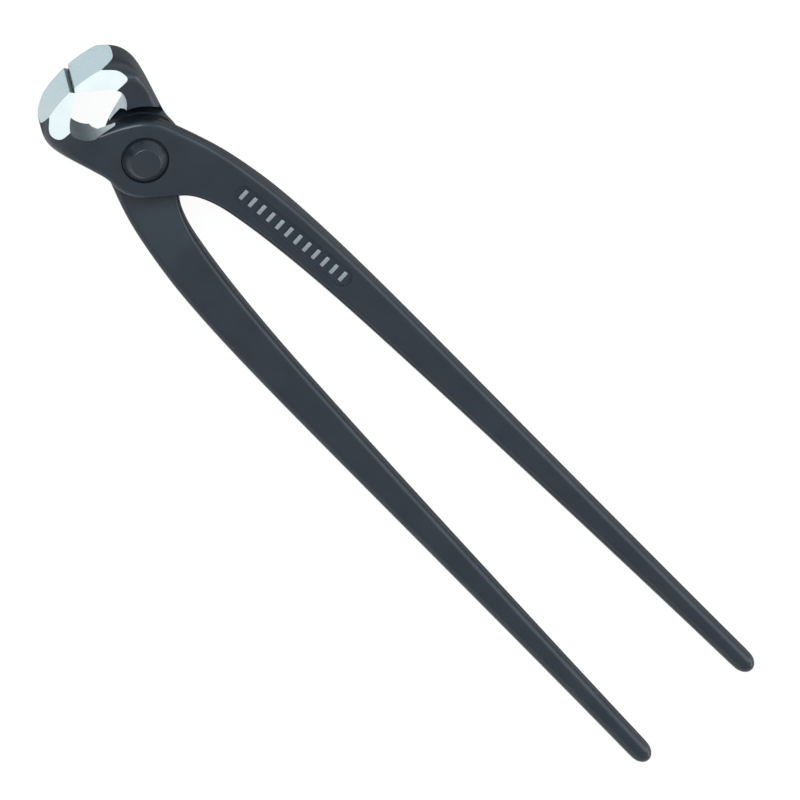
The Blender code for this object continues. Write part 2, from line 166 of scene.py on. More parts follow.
GRAIN_BUMP_SHARE = 0.7
PIT_BUMP_SHARE = 0.3
GRAIN_DEPTH = 0.00002
GRAIN_STRENGTH = 0.45

# Ground steel: how its lines are stretched, waves to the metre, tones and roughness, and where
# along Y, in metres, the painted light on the throat's +Y side starts and is full
LINES_ALONG_Y = (1.0, 0.05, 1.0)
LINES_ALONG_Z = (1.0, 1.0, 0.05)
LINE_WAVES = 5200.0
BROAD_WAVES = 120.0
STEEL_DETAIL = 3.0
LINE_TONE_SHARE = 0.3
BROAD_TONE_SHARE = 0.7
DEEP_STEEL_SHARE = 0.12
LINE_ROUGHNESS = 0.06
BROAD_ROUGHNESS = 0.10
LINE_DEPTH = 0.000003
LINE_STRENGTH = 0.15
PAINTED_LIGHT_RISE = (-0.0095, 0.001)
GROUND_SHEEN = 0.26
MILLED_SHEEN = 0.34
EDGE_SHEEN = 0.38
MILLED_RIM = 0.60
EDGE_RIM = 0.80

# Softboxes: name, direction from the part, distance, width and height, and power in watts
LAMPS = (
    ("key", (-0.55, 0.12, 0.80), 2.2, (1.3, 1.3), 62.0),
    ("side", (0.25, 0.76, 0.60), 2.0, (2.4, 1.2), 26.0),
    ("rim", (0.80, 0.55, 0.10), 2.0, (1.6, 0.6), 14.0),
    ("fill", (0.25, -0.90, 0.42), 2.0, (2.4, 0.5), 6.0),
)
LAMP_COLOUR = (0.90, 0.97, 1.0)
WORLD_STRENGTH = 0.55
WHITE = (1.0, 1.0, 1.0, 1.0)

# Floor: half its side, its gap under the part, its specks and its shares of plain white
FLOOR_HALF_SIDE = 6.0
FLOOR_GAP = 0.0001
SPECK_WAVES = 900.0
SPECK_DETAIL = 2.0
SPECK_SHARE = 0.25
SPECK_TONE_SHARE = 0.97
SEEN_WHITE_SHARE = 0.70
CAMERA_WHITE_SHARE = 0.24

# Width of the camera's sensor in millimetres
SENSOR_WIDTH = 36.0


def length(name, description, default):
    """A size in metres that a user may change."""
    return FloatProperty(name=name, description=description, default=default, min=0.0,
                         precision=5, subtype="DISTANCE", unit="LENGTH")


def angle(name, description, default):
    """An angle that a user may change, given here in degrees."""
    return FloatProperty(name=name, description=description, default=math.radians(default),
                         subtype="ANGLE", unit="ROTATION")


def factor(name, description, default, most):
    """A plain number that a user may change."""
    return FloatProperty(name=name, description=description, default=default, min=0.0, max=most)


def count(name, description, default):
    """A number of copies or of steps."""
    return IntProperty(name=name, description=description, default=default, min=1)


def colour(name, description, default):
    """A linear colour."""
    return FloatVectorProperty(name=name, description=description, default=default, size=3,
                               min=0.0, max=1.0, subtype="COLOR")


class JawSizes(bpy.types.PropertyGroup):
    reach: length("Reach", "From the pivot's axis to the ground end", 0.0317)
    half_height: length("Half height", "From the middle plane to the jaw's outermost point", 0.0170)
    half_width: length("Half width", "From the plane of the joint to a ground side", 0.0115)
    corner_radius: length("Corner radius", "Forged corner beside the ground end", 0.0130)
    end_radius: length("End radius", "Radius of the ground end in the plan view", 0.0400)
    bevel_depth: length("Edge bevel depth", "Depth of the bevel on the cutting edge", 0.0012)
    bevel_half_width: length("Edge bevel half width", "Half the groove at the end", 0.0009)
    throat_radius: length("Throat radius", "Radius of the throat behind the edges", 0.0074)
    neck_radius: length("Neck radius", "Radius from the throat to the boss", 0.0600)
    neck_start_wall: length("Neck start wall", "Metal round the boss where the neck starts", 0.0040)
    neck_end_wall: length("Neck end wall", "Metal round the boss where the neck ends", 0.0010)
    neck_stock: length("Neck stock", "What the throat takes off the forged neck", 0.0005)
    neck_edge_radius: length("Neck edge radius", "Rounding of the forged neck", 0.0024)


class JointSizes(bpy.types.PropertyGroup):
    boss_radius: length("Boss radius", "Radius of the round boss", 0.0121)
    half_thickness: length("Half thickness", "From the plane of the joint to the face", 0.0071)
    edge_radius: length("Edge radius", "Rounding of the forged edges", 0.0021)
    shoulder_step: length("Shoulder step", "From the boss to the foot of the shoulder", 0.0032)
    shoulder_slope: length("Shoulder slope", "How far the shoulder leans outward", 0.0012)
    groove_slope: length("Groove slope", "Width of the groove's wall round the boss", 0.0009)
    groove_depth: length("Groove depth", "Depth of the groove round the boss", 0.0026)
    crotch_reach: length("Crotch reach", "From the pivot to where the handles part", 0.0160)
    lap_gap: length("Lap gap", "Clearance between the two bosses", 0.0003)
    pocket_gap: length("Pocket gap", "Clearance round the other lever's boss", 0.0006)
    edge_gap: length("Edge gap", "Clearance between the closed cutting edges", 0.00003)
    fit_gap: length("Fit gap", "Clearance of the rivet in its hole", 0.0003)


class HandleSizes(bpy.types.PropertyGroup):
    reach: length("Reach", "From the pivot's axis to the end", 0.2483)
    start: length("Start", "Where the root ends and the even taper starts", 0.0300)
    offset: length("Offset", "Centreline's distance from the middle plane", 0.01575)
    bow: length("Bow", "How far the root bends in to the boss", 0.01154)
    bow_length: length("Bow length", "Length in which the bend dies away", 0.0230)
    end_spread: length("End spread", "How far the end swings out", 0.00505)
    root_width: length("Root width", "Width where the taper starts", 0.0138)
    end_width: length("End width", "Width at the end", 0.0065)
    width_power: factor("Width power", "How the width falls off along the length", 1.35, 4.0)
    root_half_thickness: length("Root half thickness", "Half thickness at the root", 0.00405)
    end_half_thickness: length("End half thickness", "Half thickness at the end", 0.00305)
    end_edge_radius: length("End edge radius", "Rounding of the edges at the end", 0.0030)
    end_round: length("End round", "Length of the rounded end", 0.0045)
    face_fall_start: length("Face fall start", "Where the face starts to fall", 0.0080)
    face_fall_end: length("Face fall end", "Where the face has fallen", 0.0720)
    underside_fall_start: length("Underside fall start", "Where the underside starts", 0.0120)
    underside_fall_end: length("Underside fall end", "Where the underside is full", 0.0320)


class RivetSizes(bpy.types.PropertyGroup):
    shank_radius: length("Shank radius", "Radius of the shank", 0.0049)
    head_radius: length("Head radius", "Radius of the head's foot", 0.0063)
    flat_radius: length("Flat radius", "Radius of the head's flat top", 0.0042)
    head_height: length("Head height", "Height of the head over the boss", 0.0031)
    seat_depth: length("Seat depth", "Depth of the head's seat in the boss", 0.0008)
    seat_chamfer: length("Seat chamfer", "How much wider the seat is at the face", 0.0004)
    head_edge: length("Head edge", "Height of the head's straight rim", 0.0003)


class PanelSizes(bpy.types.PropertyGroup):
    start: length("Start", "Middle of the panel's first round end", 0.0281)
    end: length("End", "Middle of the panel's last round end", 0.0676)
    width: length("Width", "Width of the recess", 0.0057)
    depth: length("Depth", "Depth of the recess", 0.0006)
    offset: length("Offset", "Distance from the handle's centreline", 0.0003)
    bar_length: length("Bar length", "Length of a raised bar across the panel", 0.0034)
    bar_width: length("Bar width", "Width of a raised bar", 0.0013)
    bar_count: count("Bars", "Raised bars in a row", 12)


class FinishSettings(bpy.types.PropertyGroup):
    black: colour("Black", "Black oxide on the forgings", (0.008, 0.012, 0.018))
    gloss: colour("Gloss", "Tint of the oiled oxide's reflections", (0.70, 0.84, 0.97))
    # The bars' lighter tone stands partly for steel rubbed bare and partly for painted highlight.
    rubbed_and_highlit: colour("Rubbed", "Steel that shows through the oxide on the bars", (0.18, 0.20, 0.22))
    # The end and the sides are one ground steel: the end's tone is darkened as painted shade, the
    # sides' tone lightened as painted light.
    end: colour("End", "Ground steel of the jaw's end", (0.36, 0.47, 0.51))
    side: colour("Side", "Fine ground steel of the jaw's sides", (0.83, 0.94, 0.97))
    # The throat's steel: painted shade on its -Y side and painted light on its +Y side.
    milled_painted_shade: colour("Milled", "Milled steel of the throat, dull side", (0.08, 0.12, 0.14))
    milled_painted_light: colour("Polished", "Milled steel of the throat, bright side", (0.78, 0.88, 0.93))
    # The bevel's dark tone is painted shade in the groove between the cutting edges.
    edge: colour("Edge", "Tempered steel of the cutting edge's bevel", (0.09, 0.13, 0.14))
    floor: colour("Floor", "Pale floor", (0.90, 0.90, 0.90))
    edge_break: length("Edge break", "Width of the small bevel on ground edges", 0.00006)


class StudioSettings(bpy.types.PropertyGroup):
    tilt: angle("Tilt", "Camera's angle from straight above", 21.528)
    azimuth: angle("Azimuth", "Direction in which the camera leans", 245.932)
    roll: angle("Roll", "Camera's turn about its own axis", 19.094)
    distance: length("Distance", "From the camera to the rivet", 2.200)
    pixels: factor("Focal length", "Focal length in pixels of the picture", 7591.0, 20000.0)
    side: factor("Picture side", "Side of the picture in pixels", 800.0, 4000.0)
    pivot_column: factor("Pivot column", "Where the pivot shows, from the left", 145.22, 4000.0)
    pivot_row: factor("Pivot row", "Where the pivot shows, from the top", 160.57, 4000.0)


class PlierSettings(bpy.types.PropertyGroup):
    jaw: PointerProperty(type=JawSizes)
    joint: PointerProperty(type=JointSizes)
    handle: PointerProperty(type=HandleSizes)
    rivet: PointerProperty(type=RivetSizes)
    panel: PointerProperty(type=PanelSizes)
    finish: PointerProperty(type=FinishSettings)
    studio: PointerProperty(type=StudioSettings)


# Shader maths


class Wire:
    """A node's output. Sums and products of wires add their own Math nodes."""

    def __init__(self, shader, socket):
        self.shader = shader
        self.socket = socket

    def maths(self, operation, first, second):
        return self.shader.add("ShaderNodeMath", {"operation": operation}, first, second)

    def __add__(self, other):
        return self.maths("ADD", self, other)

    __radd__ = __add__

    def __sub__(self, other):
        return self.maths("SUBTRACT", self, other)

    def __rsub__(self, other):
        return self.maths("SUBTRACT", other, self)

    def __mul__(self, other):
        return self.maths("MULTIPLY", self, other)

    __rmul__ = __mul__

    def __or__(self, other):
        return self.maths("MAXIMUM", self, other)

    def rise(self, low, high):
        """A mask that rises smoothly from none at low to full at high."""
        return self.shader.add("ShaderNodeMapRange", {"interpolation_type": "SMOOTHSTEP"},
                               self, low, high, 0.0, 1.0)


class Shader:
    """The nodes of one material, or of the world."""

    def __init__(self, owner):
        owner.use_nodes = True
        self.tree = owner.node_tree
        self.tree.nodes.clear()

    def add(self, kind, settings, *values, output=0, **named):
        """Adds a node, makes its settings, sets or links its sockets and returns one output."""
        new = self.tree.nodes.new(kind)
        for key, value in settings.items():
            setattr(new, key, value)
        for key, value in (*enumerate(values), *named.items()):
            socket = new.inputs[key if isinstance(key, int) else key.replace("_", " ")]
            if isinstance(value, Wire):
                self.tree.links.new(value.socket, socket)
            elif value is not None:
                socket.default_value = value
        return Wire(self, new.outputs[output]) if new.outputs else None

    def place(self, stretch=(1.0, 1.0, 1.0)):
        """The point on the piece, in metres, with its axes stretched for long patterns."""
        point = self.add("ShaderNodeTexCoord", {}, output="Object")
        return self.add("ShaderNodeMapping", {}, Vector=point, Scale=stretch)

    def noise(self, place, scale, detail):
        """Noise from 0 to 1, with about scale waves to the metre."""
        return self.add("ShaderNodeTexNoise", {}, Vector=place, Scale=scale, Detail=detail)

    def mix(self, share, first, second):
        """A colour between two colours."""
        first, second = (value if isinstance(value, Wire) else (*value, 1.0)
                         for value in (first, second))
        return self.add("ShaderNodeMix", {"data_type": "RGBA"}, share, None, None, None, None,
                        None, first, second, output=2)

    def bump(self, height, depth, strength):
        """A normal from a height of 0 to 1 that stands for a depth in metres."""
        return self.add("ShaderNodeBump", {}, Height=height, Distance=depth, Strength=strength)

    def finish(self, surface, kind="ShaderNodeOutputMaterial"):
        self.add(kind, {}, Surface=surface)


def black_oxide(name, tone, gloss, sheen, oil=FORGED_OIL):
    """Oiled black oxide: a satin grain under a film of oil, and dull flanks with less oil and
    painted shade.
    """
    material = bpy.data.materials.new(name)
    shader = Shader(material)
    place = shader.place()
    grain = shader.noise(place, GRAIN_WAVES, GRAIN_DETAIL)
    pits = shader.noise(place, PIT_WAVES, PIT_DETAIL)
    patches = shader.noise(place, PATCH_WAVES, PATCH_DETAIL).rise(*PATCH_RISE)
    slope = shader.add("ShaderNodeNewGeometry", {}, output="Normal")
    upright = shader.add("ShaderNodeSeparateXYZ", {}, slope, output="Z")
    face = (upright * upright).rise(*FLANK_RISE)
    deep = tuple(part * DEEP_TONE_SHARE for part in tone)
    # Near-upright flanks take a darker tone here: painted shade.
    flank = tuple(part * FLANK_PAINTED_SHADE_SHARE for part in tone)
    colour_of = shader.mix(patches * PATCH_TONE_SHARE + grain * GRAIN_TONE_SHARE, deep, tone)
    colour_of = shader.mix(face, flank, colour_of)
    rough = (sheen + patches * PATCH_ROUGHNESS + (grain - NOISE_MIDDLE) * GRAIN_ROUGHNESS
             + (1.0 - face) * (FLANK_ROUGHNESS - sheen))
    film = FLANK_OIL + face * (oil - FLANK_OIL + (patches - NOISE_MIDDLE) * PATCH_OIL)
    height = grain * GRAIN_BUMP_SHARE + pits * PIT_BUMP_SHARE
    normal = shader.bump(height, GRAIN_DEPTH, GRAIN_STRENGTH)
    shader.finish(shader.add("ShaderNodeBsdfPrincipled", {}, Base_Color=colour_of, Roughness=rough,
                             Normal=normal, Specular_IOR_Level=OXIDE_SPECULAR, Coat_Weight=film,
                             Specular_Tint=(*gloss, 1.0), Coat_Roughness=OIL_ROUGHNESS))
    return material


def ground_steel(name, tone, stretch, sheen, bright=None, rim=1.0):
    """Bare ground steel with fine lines along the stretched axis, and painted light towards +Y if
    bright is given.
    """
    material = bpy.data.materials.new(name)
    shader = Shader(material)
    lines = shader.noise(shader.place(stretch), LINE_WAVES, STEEL_DETAIL)
    broad = shader.noise(shader.place(), BROAD_WAVES, STEEL_DETAIL)
    if bright:
        # Painted light and shade: the tone runs from dark at -Y to bright at +Y.
        side = shader.add("ShaderNodeSeparateXYZ", {}, shader.place(), output="Y")
        tone = shader.mix(side.rise(*PAINTED_LIGHT_RISE), tone, bright)
    deep = shader.mix(DEEP_STEEL_SHARE, tone, (0.0, 0.0, 0.0))
    colour_of = shader.mix(lines * LINE_TONE_SHARE + broad * BROAD_TONE_SHARE, deep, tone)
    rough = (sheen + (lines - NOISE_MIDDLE) * LINE_ROUGHNESS
             + (broad - NOISE_MIDDLE) * BROAD_ROUGHNESS)
    normal = shader.bump(lines, LINE_DEPTH, LINE_STRENGTH)
    shader.finish(shader.add("ShaderNodeBsdfPrincipled", {}, Base_Color=colour_of, Roughness=rough,
                             Metallic=1.0, Normal=normal, Specular_Tint=(rim, rim, rim, 1.0)))
    return material


# Order of the finishes on a lever's mesh
BLACK, END, SIDE, MILLED, EDGE = range(5)


def lever_finishes(finish):
    """The materials of a lever, in the order of their indices."""
    return [
        black_oxide("forged_black_oxide", finish.black, finish.gloss, FORGED_SHEEN),
        ground_steel("ground_end_painted_shade", finish.end, LINES_ALONG_Y, GROUND_SHEEN),
        ground_steel("ground_side_painted_light", finish.side, LINES_ALONG_Y, GROUND_SHEEN),
        ground_steel("milled_steel", finish.milled_painted_shade, LINES_ALONG_Z, MILLED_SHEEN, finish.milled_painted_light,
                     MILLED_RIM),
        ground_steel("edge_bevel_painted_shade", finish.edge, LINES_ALONG_Y, EDGE_SHEEN, rim=EDGE_RIM),
    ]


# Points of the plan view


def around(radius, degrees):
    """A point at a radius and an angle about the pivot."""
    turn = math.radians(degrees)
    return Vector((radius * math.cos(turn), radius * math.sin(turn)))


def short_arc(start, end, radius, steps=CURVE_POINTS):
    """Points along a circle's short arc that bulges to the right of the way from start to end."""
    chord = end - start
    half = chord.length / 2
    normal = Vector((-chord.y, chord.x)).normalized()
    centre = (start + end) / 2 + normal * math.sqrt(radius * radius - half * half)
    turn = 2 * math.asin(half / radius)
    return [centre + Matrix.Rotation(turn * step / steps, 2) @ (start - centre)
            for step in range(steps + 1)]


def bezier(start, start_handle, end_handle, end, points):
    """Points along a Bezier curve."""
    ends = [point.to_3d() for point in (start, start_handle, end_handle, end)]
    return [point.to_2d() for point in interpolate_bezier(*ends, points)]


class Forging:
    """The lines and sections of one lever, worked out from the sizes."""

    def __init__(self, pliers):
        self.jaw = pliers.jaw
        self.joint = pliers.joint
        self.handle = pliers.handle

    def centre(self, x):
        """Distance of the handle's centreline from the tool's middle plane."""
        size = self.handle
        return (size.offset + size.end_spread * x / size.reach
                - size.bow * math.exp(-x / size.bow_length))

    def width(self, x):
        """Width of the handle in the plan view."""
        size = self.handle
        rest = max((size.reach - x) / (size.reach - size.start), 0.0)
        return size.end_width + (size.root_width - size.end_width) * rest ** size.width_power

    def half_thickness(self, x):
        """Half the handle's thickness."""
        size = self.handle
        share = min(max((x - size.face_fall_end) / (size.reach - size.face_fall_end), 0.0), 1.0)
        return size.root_half_thickness + share * (size.end_half_thickness
                                                   - size.root_half_thickness)

    def face(self, x):
        """Height of the outer face, which falls from the boss to the handle."""
        size = self.handle
        fall = size.face_fall_end - size.face_fall_start
        share = min(max((x - size.face_fall_start) / fall, 0.0), 1.0)
        boss = self.joint.half_thickness
        return boss + share * (self.half_thickness(x) - boss)

    def underside(self, x):
        """Depth of the inner face under the plane of the joint."""
        size = self.handle
        fall = size.underside_fall_end - size.underside_fall_start
        return min(max((x - size.underside_fall_start) / fall, 0.0), 1.0) * self.half_thickness(x)

    def edge(self, x, side):
        """A point on the handle's outer edge, for side 1, or its inner edge, for side -1."""
        return Vector((x, self.centre(x) + side * self.width(x) / 2))

    def slope(self, x, side):
        """Direction of the handle's edge."""
        step = self.handle.reach * SLOPE_STEP_SHARE
        return (self.edge(x + step, side) - self.edge(x - step, side)).normalized()

    def crotch_tangent(self):
        """Angle at which a line from the crotch touches the boss."""
        return -math.degrees(math.acos(min(self.joint.boss_radius / self.joint.crotch_reach, 1.0)))

    def neck_ends(self):
        """Where the neck starts beside the throat, and where its ground side runs out."""
        boss_radius = self.joint.boss_radius
        return (around(boss_radius + self.jaw.neck_start_wall, NECK_START_ANGLE),
                around(boss_radius + self.jaw.neck_end_wall, NECK_END_ANGLE))

    def lower_edge(self):
        """Outer edge of the jaw, lower edge of the boss and inner edge of the handle's root."""
        boss_radius = self.joint.boss_radius
        jaw = [Vector((-self.jaw.reach * x, -self.jaw.half_height * y)) for x, y, *_ in JAW_SHARES]
        turn = (self.crotch_tangent() - BOSS_LOWER_ANGLE) % 360
        boss = [around(boss_radius, BOSS_LOWER_ANGLE + turn * share) for share in BOSS_LOWER_SHARES]
        neck = [jaw[-1].lerp(boss[0], share) for share in THIRD_SHARES]
        touch = around(boss_radius, self.crotch_tangent())
        crotch = Vector((self.joint.crotch_reach, self.joint.fit_gap / 2))
        line = [touch, *(touch.lerp(crotch, share) for share in THIRD_SHARES)]
        way = (crotch - touch).normalized()
        start = self.handle.start
        root = self.edge(start, -1)
        span = (root - crotch).length
        first, last = CROTCH_CURVE_SHARES
        points = FLANK_POINTS + len(BOSS_UPPER_ANGLES) - len(boss) - len(line)
        inner = bezier(crotch, crotch + way * span * first,
                       root - self.slope(start, -1) * span * last, root, points)
        return jaw + neck + boss + line + inner

    def upper_edge(self):
        """The edge on the other side of the same sections."""
        boss_radius = self.joint.boss_radius
        side = self.jaw.half_height * BLANK_SIDE_SHARE
        jaw = [Vector((-self.jaw.reach * x, side)) for x, *_ in JAW_SHARES[:-1]]
        neck_start, neck_end = self.neck_ends()
        stock = Vector((self.jaw.neck_stock, 0.0))
        neck = [neck_start - stock, (neck_start + neck_end) / 2 - stock, neck_end]
        boss = [around(boss_radius, degrees) for degrees in BOSS_UPPER_ANGLES]
        first = around(boss_radius, FLANK_ANGLE)
        start = self.handle.start
        root = self.edge(start, 1)
        reach = (root - first).length * FLANK_CURVE_SHARE
        flank = bezier(first, first + around(1, FLANK_ANGLE - 90) * reach,
                       root - self.slope(start, 1) * reach, root, FLANK_POINTS)
        return jaw + neck + boss + flank

    def head_sections(self):
        """Sections of the jaw, the boss and the handle's root: edges, heights and radii."""
        boss = self.joint.half_thickness
        flare = self.jaw.half_width - boss
        edge_radius = self.joint.edge_radius
        last = len(JAW_SHARES) - 1
        for index, (low, high) in enumerate(zip(self.lower_edge(), self.upper_edge())):
            middle = (low.x + high.x) / 2
            high_radius = self.jaw.neck_edge_radius if last <= index <= last + 2 else edge_radius
            if index <= last:
                top = boss + flare * JAW_SHARES[index][2]
                radius, foot_radius = (self.jaw.corner_radius * share
                                       for share in JAW_SHARES[index][3:])
                yield low, high, -top, top, radius, foot_radius, high_radius
            else:
                bottom = -self.underside(middle) if middle > 0 else -boss
                yield low, high, bottom, self.face(middle), edge_radius, edge_radius, high_radius

    def handle_sections(self):
        """Sections of the handle, from its start to its rounded end."""
        size = self.handle
        straight = size.reach - size.end_round
        places = [(size.start + (straight - size.start) * (step + 1) / HANDLE_PITCHES, 1.0)
                  for step in range(HANDLE_PITCHES)]
        for degrees in END_ROUND_ANGLES:
            turn = math.radians(degrees)
            places.append((straight + size.end_round * math.sin(turn), math.cos(turn)))
        for x, scale in places:
            share = (x - size.start) / (size.reach - size.start)
            radius = self.joint.edge_radius + share * (size.end_edge_radius
                                                       - self.joint.edge_radius)
            half = Vector((0.0, self.width(x) / 2 * scale))
            middle = Vector((x, self.centre(x)))
            yield (middle - half, middle + half, -self.underside(x) * scale, self.face(x) * scale,
                   radius, radius, radius)


def add_section(mesh, low, high, bottom, top, low_radius, foot_radius, high_radius):
    """Adds a face with rounded corners, standing on a line of the plan view."""
    width = (high - low).length
    most = CORNER_LIMIT_SHARE * (top - bottom)
    high_radius = min(high_radius, CORNER_LIMIT_SHARE * width, most)
    room = 2 * CORNER_LIMIT_SHARE * width - high_radius
    low_radius = min(low_radius, room, most)
    foot_radius = min(foot_radius, room, most)
    corners = [mesh.verts.new((*point, height)) for point, height in
               ((low, bottom), (high, bottom), (high, top), (low, top))]
    order = mesh.faces.layers.int["order"]
    mesh.faces.new(corners)[order] = len(mesh.faces)
    for group, radius in ((corners[:1], foot_radius), (corners[1:3], high_radius),
                          (corners[3:], low_radius)):
        bmesh.ops.bevel(mesh, geom=group, offset=radius, offset_type="OFFSET",
                        affect="VERTICES", segments=SECTION_SEGMENTS, profile=0.5, material=-1)


def blank(name, sections):
    """The forged blank: rounded sections bridged into one closed skin."""
    mesh = bmesh.new()
    order = mesh.faces.layers.int.new("order")
    for section in sections:
        add_section(mesh, *section)
    faces = sorted(mesh.faces, key=lambda face: face[order])
    loops = [list(face.edges) for face in faces]
    bmesh.ops.delete(mesh, geom=faces[1:-1], context="FACES_ONLY")
    for near, far in zip(loops, loops[1:]):
        bmesh.ops.bridge_loops(mesh, edges=near + far)
    shape = finished(name, mesh)
    smooth = shape.modifiers.new("smooth", "SUBSURF")
    smooth.levels = smooth.render_levels = SUBDIVISIONS
    return shape


def finished(name, mesh, finish=BLACK):
    """Turns the faces outward and makes an object of the mesh."""
    bmesh.ops.recalc_face_normals(mesh, faces=mesh.faces)
    for face in mesh.faces:
        face.material_index = finish
        face.smooth = True
    data = bpy.data.meshes.new(name)
    mesh.to_mesh(data)
    mesh.free()
    shape = bpy.data.objects.new(name, data)
    bpy.context.scene.collection.objects.link(shape)
    return shape


def extruded(name, outline, floor, ceiling, finish=BLACK):
    """A solid over an outline of the plan view, between two heights."""
    mesh = bmesh.new()
    base = mesh.faces.new([mesh.verts.new((*point, 0.0)) for point in outline])
    raised = bmesh.ops.extrude_face_region(mesh, geom=[base])["geom"]
    upper = {part for part in raised if isinstance(part, bmesh.types.BMVert)}
    for vert in mesh.verts:
        vert.co.z = ceiling if vert in upper else floor
    return finished(name, mesh, finish)


def turned(name, profile, half=False):
    """A solid turned about the pivot's axis from radii and heights, whole or on the jaw's side."""
    mesh = bmesh.new()
    verts = [mesh.verts.new((radius, 0.0, height)) for radius, height in profile]
    edges = [mesh.edges.new(pair) for pair in zip(verts, verts[1:])]
    bmesh.ops.spin(mesh, geom=verts + edges, cent=(0, 0, 0), axis=(0, 0, 1), angle=math.tau,
                   steps=TURN_STEPS, use_merge=True)
    bmesh.ops.remove_doubles(mesh, verts=mesh.verts, dist=MERGE_DISTANCE)
    if half:
        parts = mesh.verts[:] + mesh.edges[:] + mesh.faces[:]
        rim = bmesh.ops.bisect_plane(mesh, geom=parts, plane_co=(0, 0, 0), plane_no=(1, 0, 0),
                                     clear_outer=True)["geom_cut"]
        bmesh.ops.contextual_create(mesh, geom=[part for part in rim
                                                if isinstance(part, bmesh.types.BMEdge)])
    return finished(name, mesh)


# What is cut out of the blank


def lap_recess(pliers, past):
    """The round pocket in which the other lever's boss turns."""
    joint = pliers.joint
    radius = joint.boss_radius + joint.pocket_gap
    ceiling = joint.lap_gap / 2
    return turned("lap_recess", ((0.0, ceiling), (radius, ceiling), (radius, -past), (0.0, -past)))


def shoulder_recess(pliers, past):
    """The wider dish on the jaw's side, with a groove round the boss and a sloped wall."""
    joint = pliers.joint
    radius = joint.boss_radius + joint.fit_gap
    foot = joint.boss_radius + joint.shoulder_step
    wall = foot + joint.shoulder_slope
    ceiling = joint.lap_gap / 2
    profile = ((0.0, ceiling), (radius, ceiling),
               (radius + joint.groove_slope, ceiling + joint.groove_depth), (foot, ceiling),
               (wall, -joint.half_thickness), (wall, -past), (0.0, -past))
    return turned("shoulder_recess", profile, half=True)


def crotch_recess(pliers, forging, past):
    """The same room where the other lever's boss runs out to the crotch between the handles."""
    joint = pliers.joint
    turn = forging.crotch_tangent()
    radius = joint.boss_radius + joint.fit_gap
    outline = (Vector((0.0, 0.0)), around(radius, turn),
               Vector((joint.crotch_reach + joint.fit_gap, 0.0)), around(radius, -turn))
    return extruded("crotch_recess", outline, -past, joint.lap_gap / 2)


def throat(pliers, forging, past):
    """The open side of the jaw: edge bevel, hollow behind the edge, throat and neck."""
    jaw = pliers.jaw
    tip = Vector((jaw.bevel_depth - jaw.reach, -pliers.joint.edge_gap / 2))
    bevel = Vector((-jaw.bevel_depth, -jaw.bevel_half_width))
    beyond = tip + bevel * (past / jaw.bevel_depth)
    first, second, crease = (Vector((-jaw.reach * x, -jaw.half_height * y))
                             for x, y in (*HOLLOW_SHARES, CREASE_SHARES))
    neck_start, neck_end = forging.neck_ends()
    outline = [beyond, *bezier(tip, first, second, crease, CURVE_POINTS),
               *short_arc(crease, neck_start, jaw.throat_radius)[1:],
               *short_arc(neck_end, neck_start, jaw.neck_radius)[-2::-1],
               Vector((neck_end.x, past)), Vector((beyond.x, past))]
    shape = extruded("throat", outline, -past, past, MILLED)
    for face in shape.data.polygons:
        if face.center.x < tip.x:
            face.material_index = EDGE
    return shape


def end_grind(pliers, past):
    """Everything beyond the jaw's ground end, which is slightly round in the plan view."""
    jaw = pliers.jaw
    side = jaw.half_height + past / 2
    far = Vector((-jaw.reach - past, 0.0))
    sag = jaw.end_radius - math.sqrt(jaw.end_radius ** 2 - side ** 2)
    lower, upper = (Vector((sag - jaw.reach, y)) for y in (-side, side))
    outline = [*short_arc(upper, lower, jaw.end_radius, END_CURVE_POINTS),
               far - Vector((0.0, side)), far + Vector((0.0, side))]
    return extruded("end_grind", outline, -past, past, END)


def side_grind(name, pliers, past, side):
    """One of the two flats that are ground on the sides of the jaw."""
    near = -pliers.joint.boss_radius - pliers.joint.shoulder_step
    mesh = bmesh.new()
    bmesh.ops.create_cube(mesh, size=past)
    middle = Vector((near - past / 2, 0.0, side * (pliers.jaw.half_width + past / 2)))
    bmesh.ops.scale(mesh, vec=SIDE_CUTTER_STRETCH, verts=mesh.verts)
    bmesh.ops.translate(mesh, vec=middle, verts=mesh.verts)
    return finished(name, mesh, SIDE)


def rivet_hole(pliers, past):
    """The rivet's hole with the shallow, chamfered seat of its head."""
    joint, rivet = pliers.joint, pliers.rivet
    hole = rivet.shank_radius + joint.fit_gap
    wide = rivet.head_radius + joint.fit_gap
    rim = wide + rivet.seat_chamfer
    seat = joint.half_thickness - rivet.seat_depth
    return turned("rivet_hole", ((0.0, -past), (hole, -past), (hole, seat), (wide, seat),
                                 (rim, joint.half_thickness), (rim, past), (0.0, past)))


def panel_ends(pliers, forging):
    """The two ends of the marking panel's middle line."""
    panel = pliers.panel
    return [Vector((x, forging.centre(x) + panel.offset)) for x in (panel.start, panel.end)]


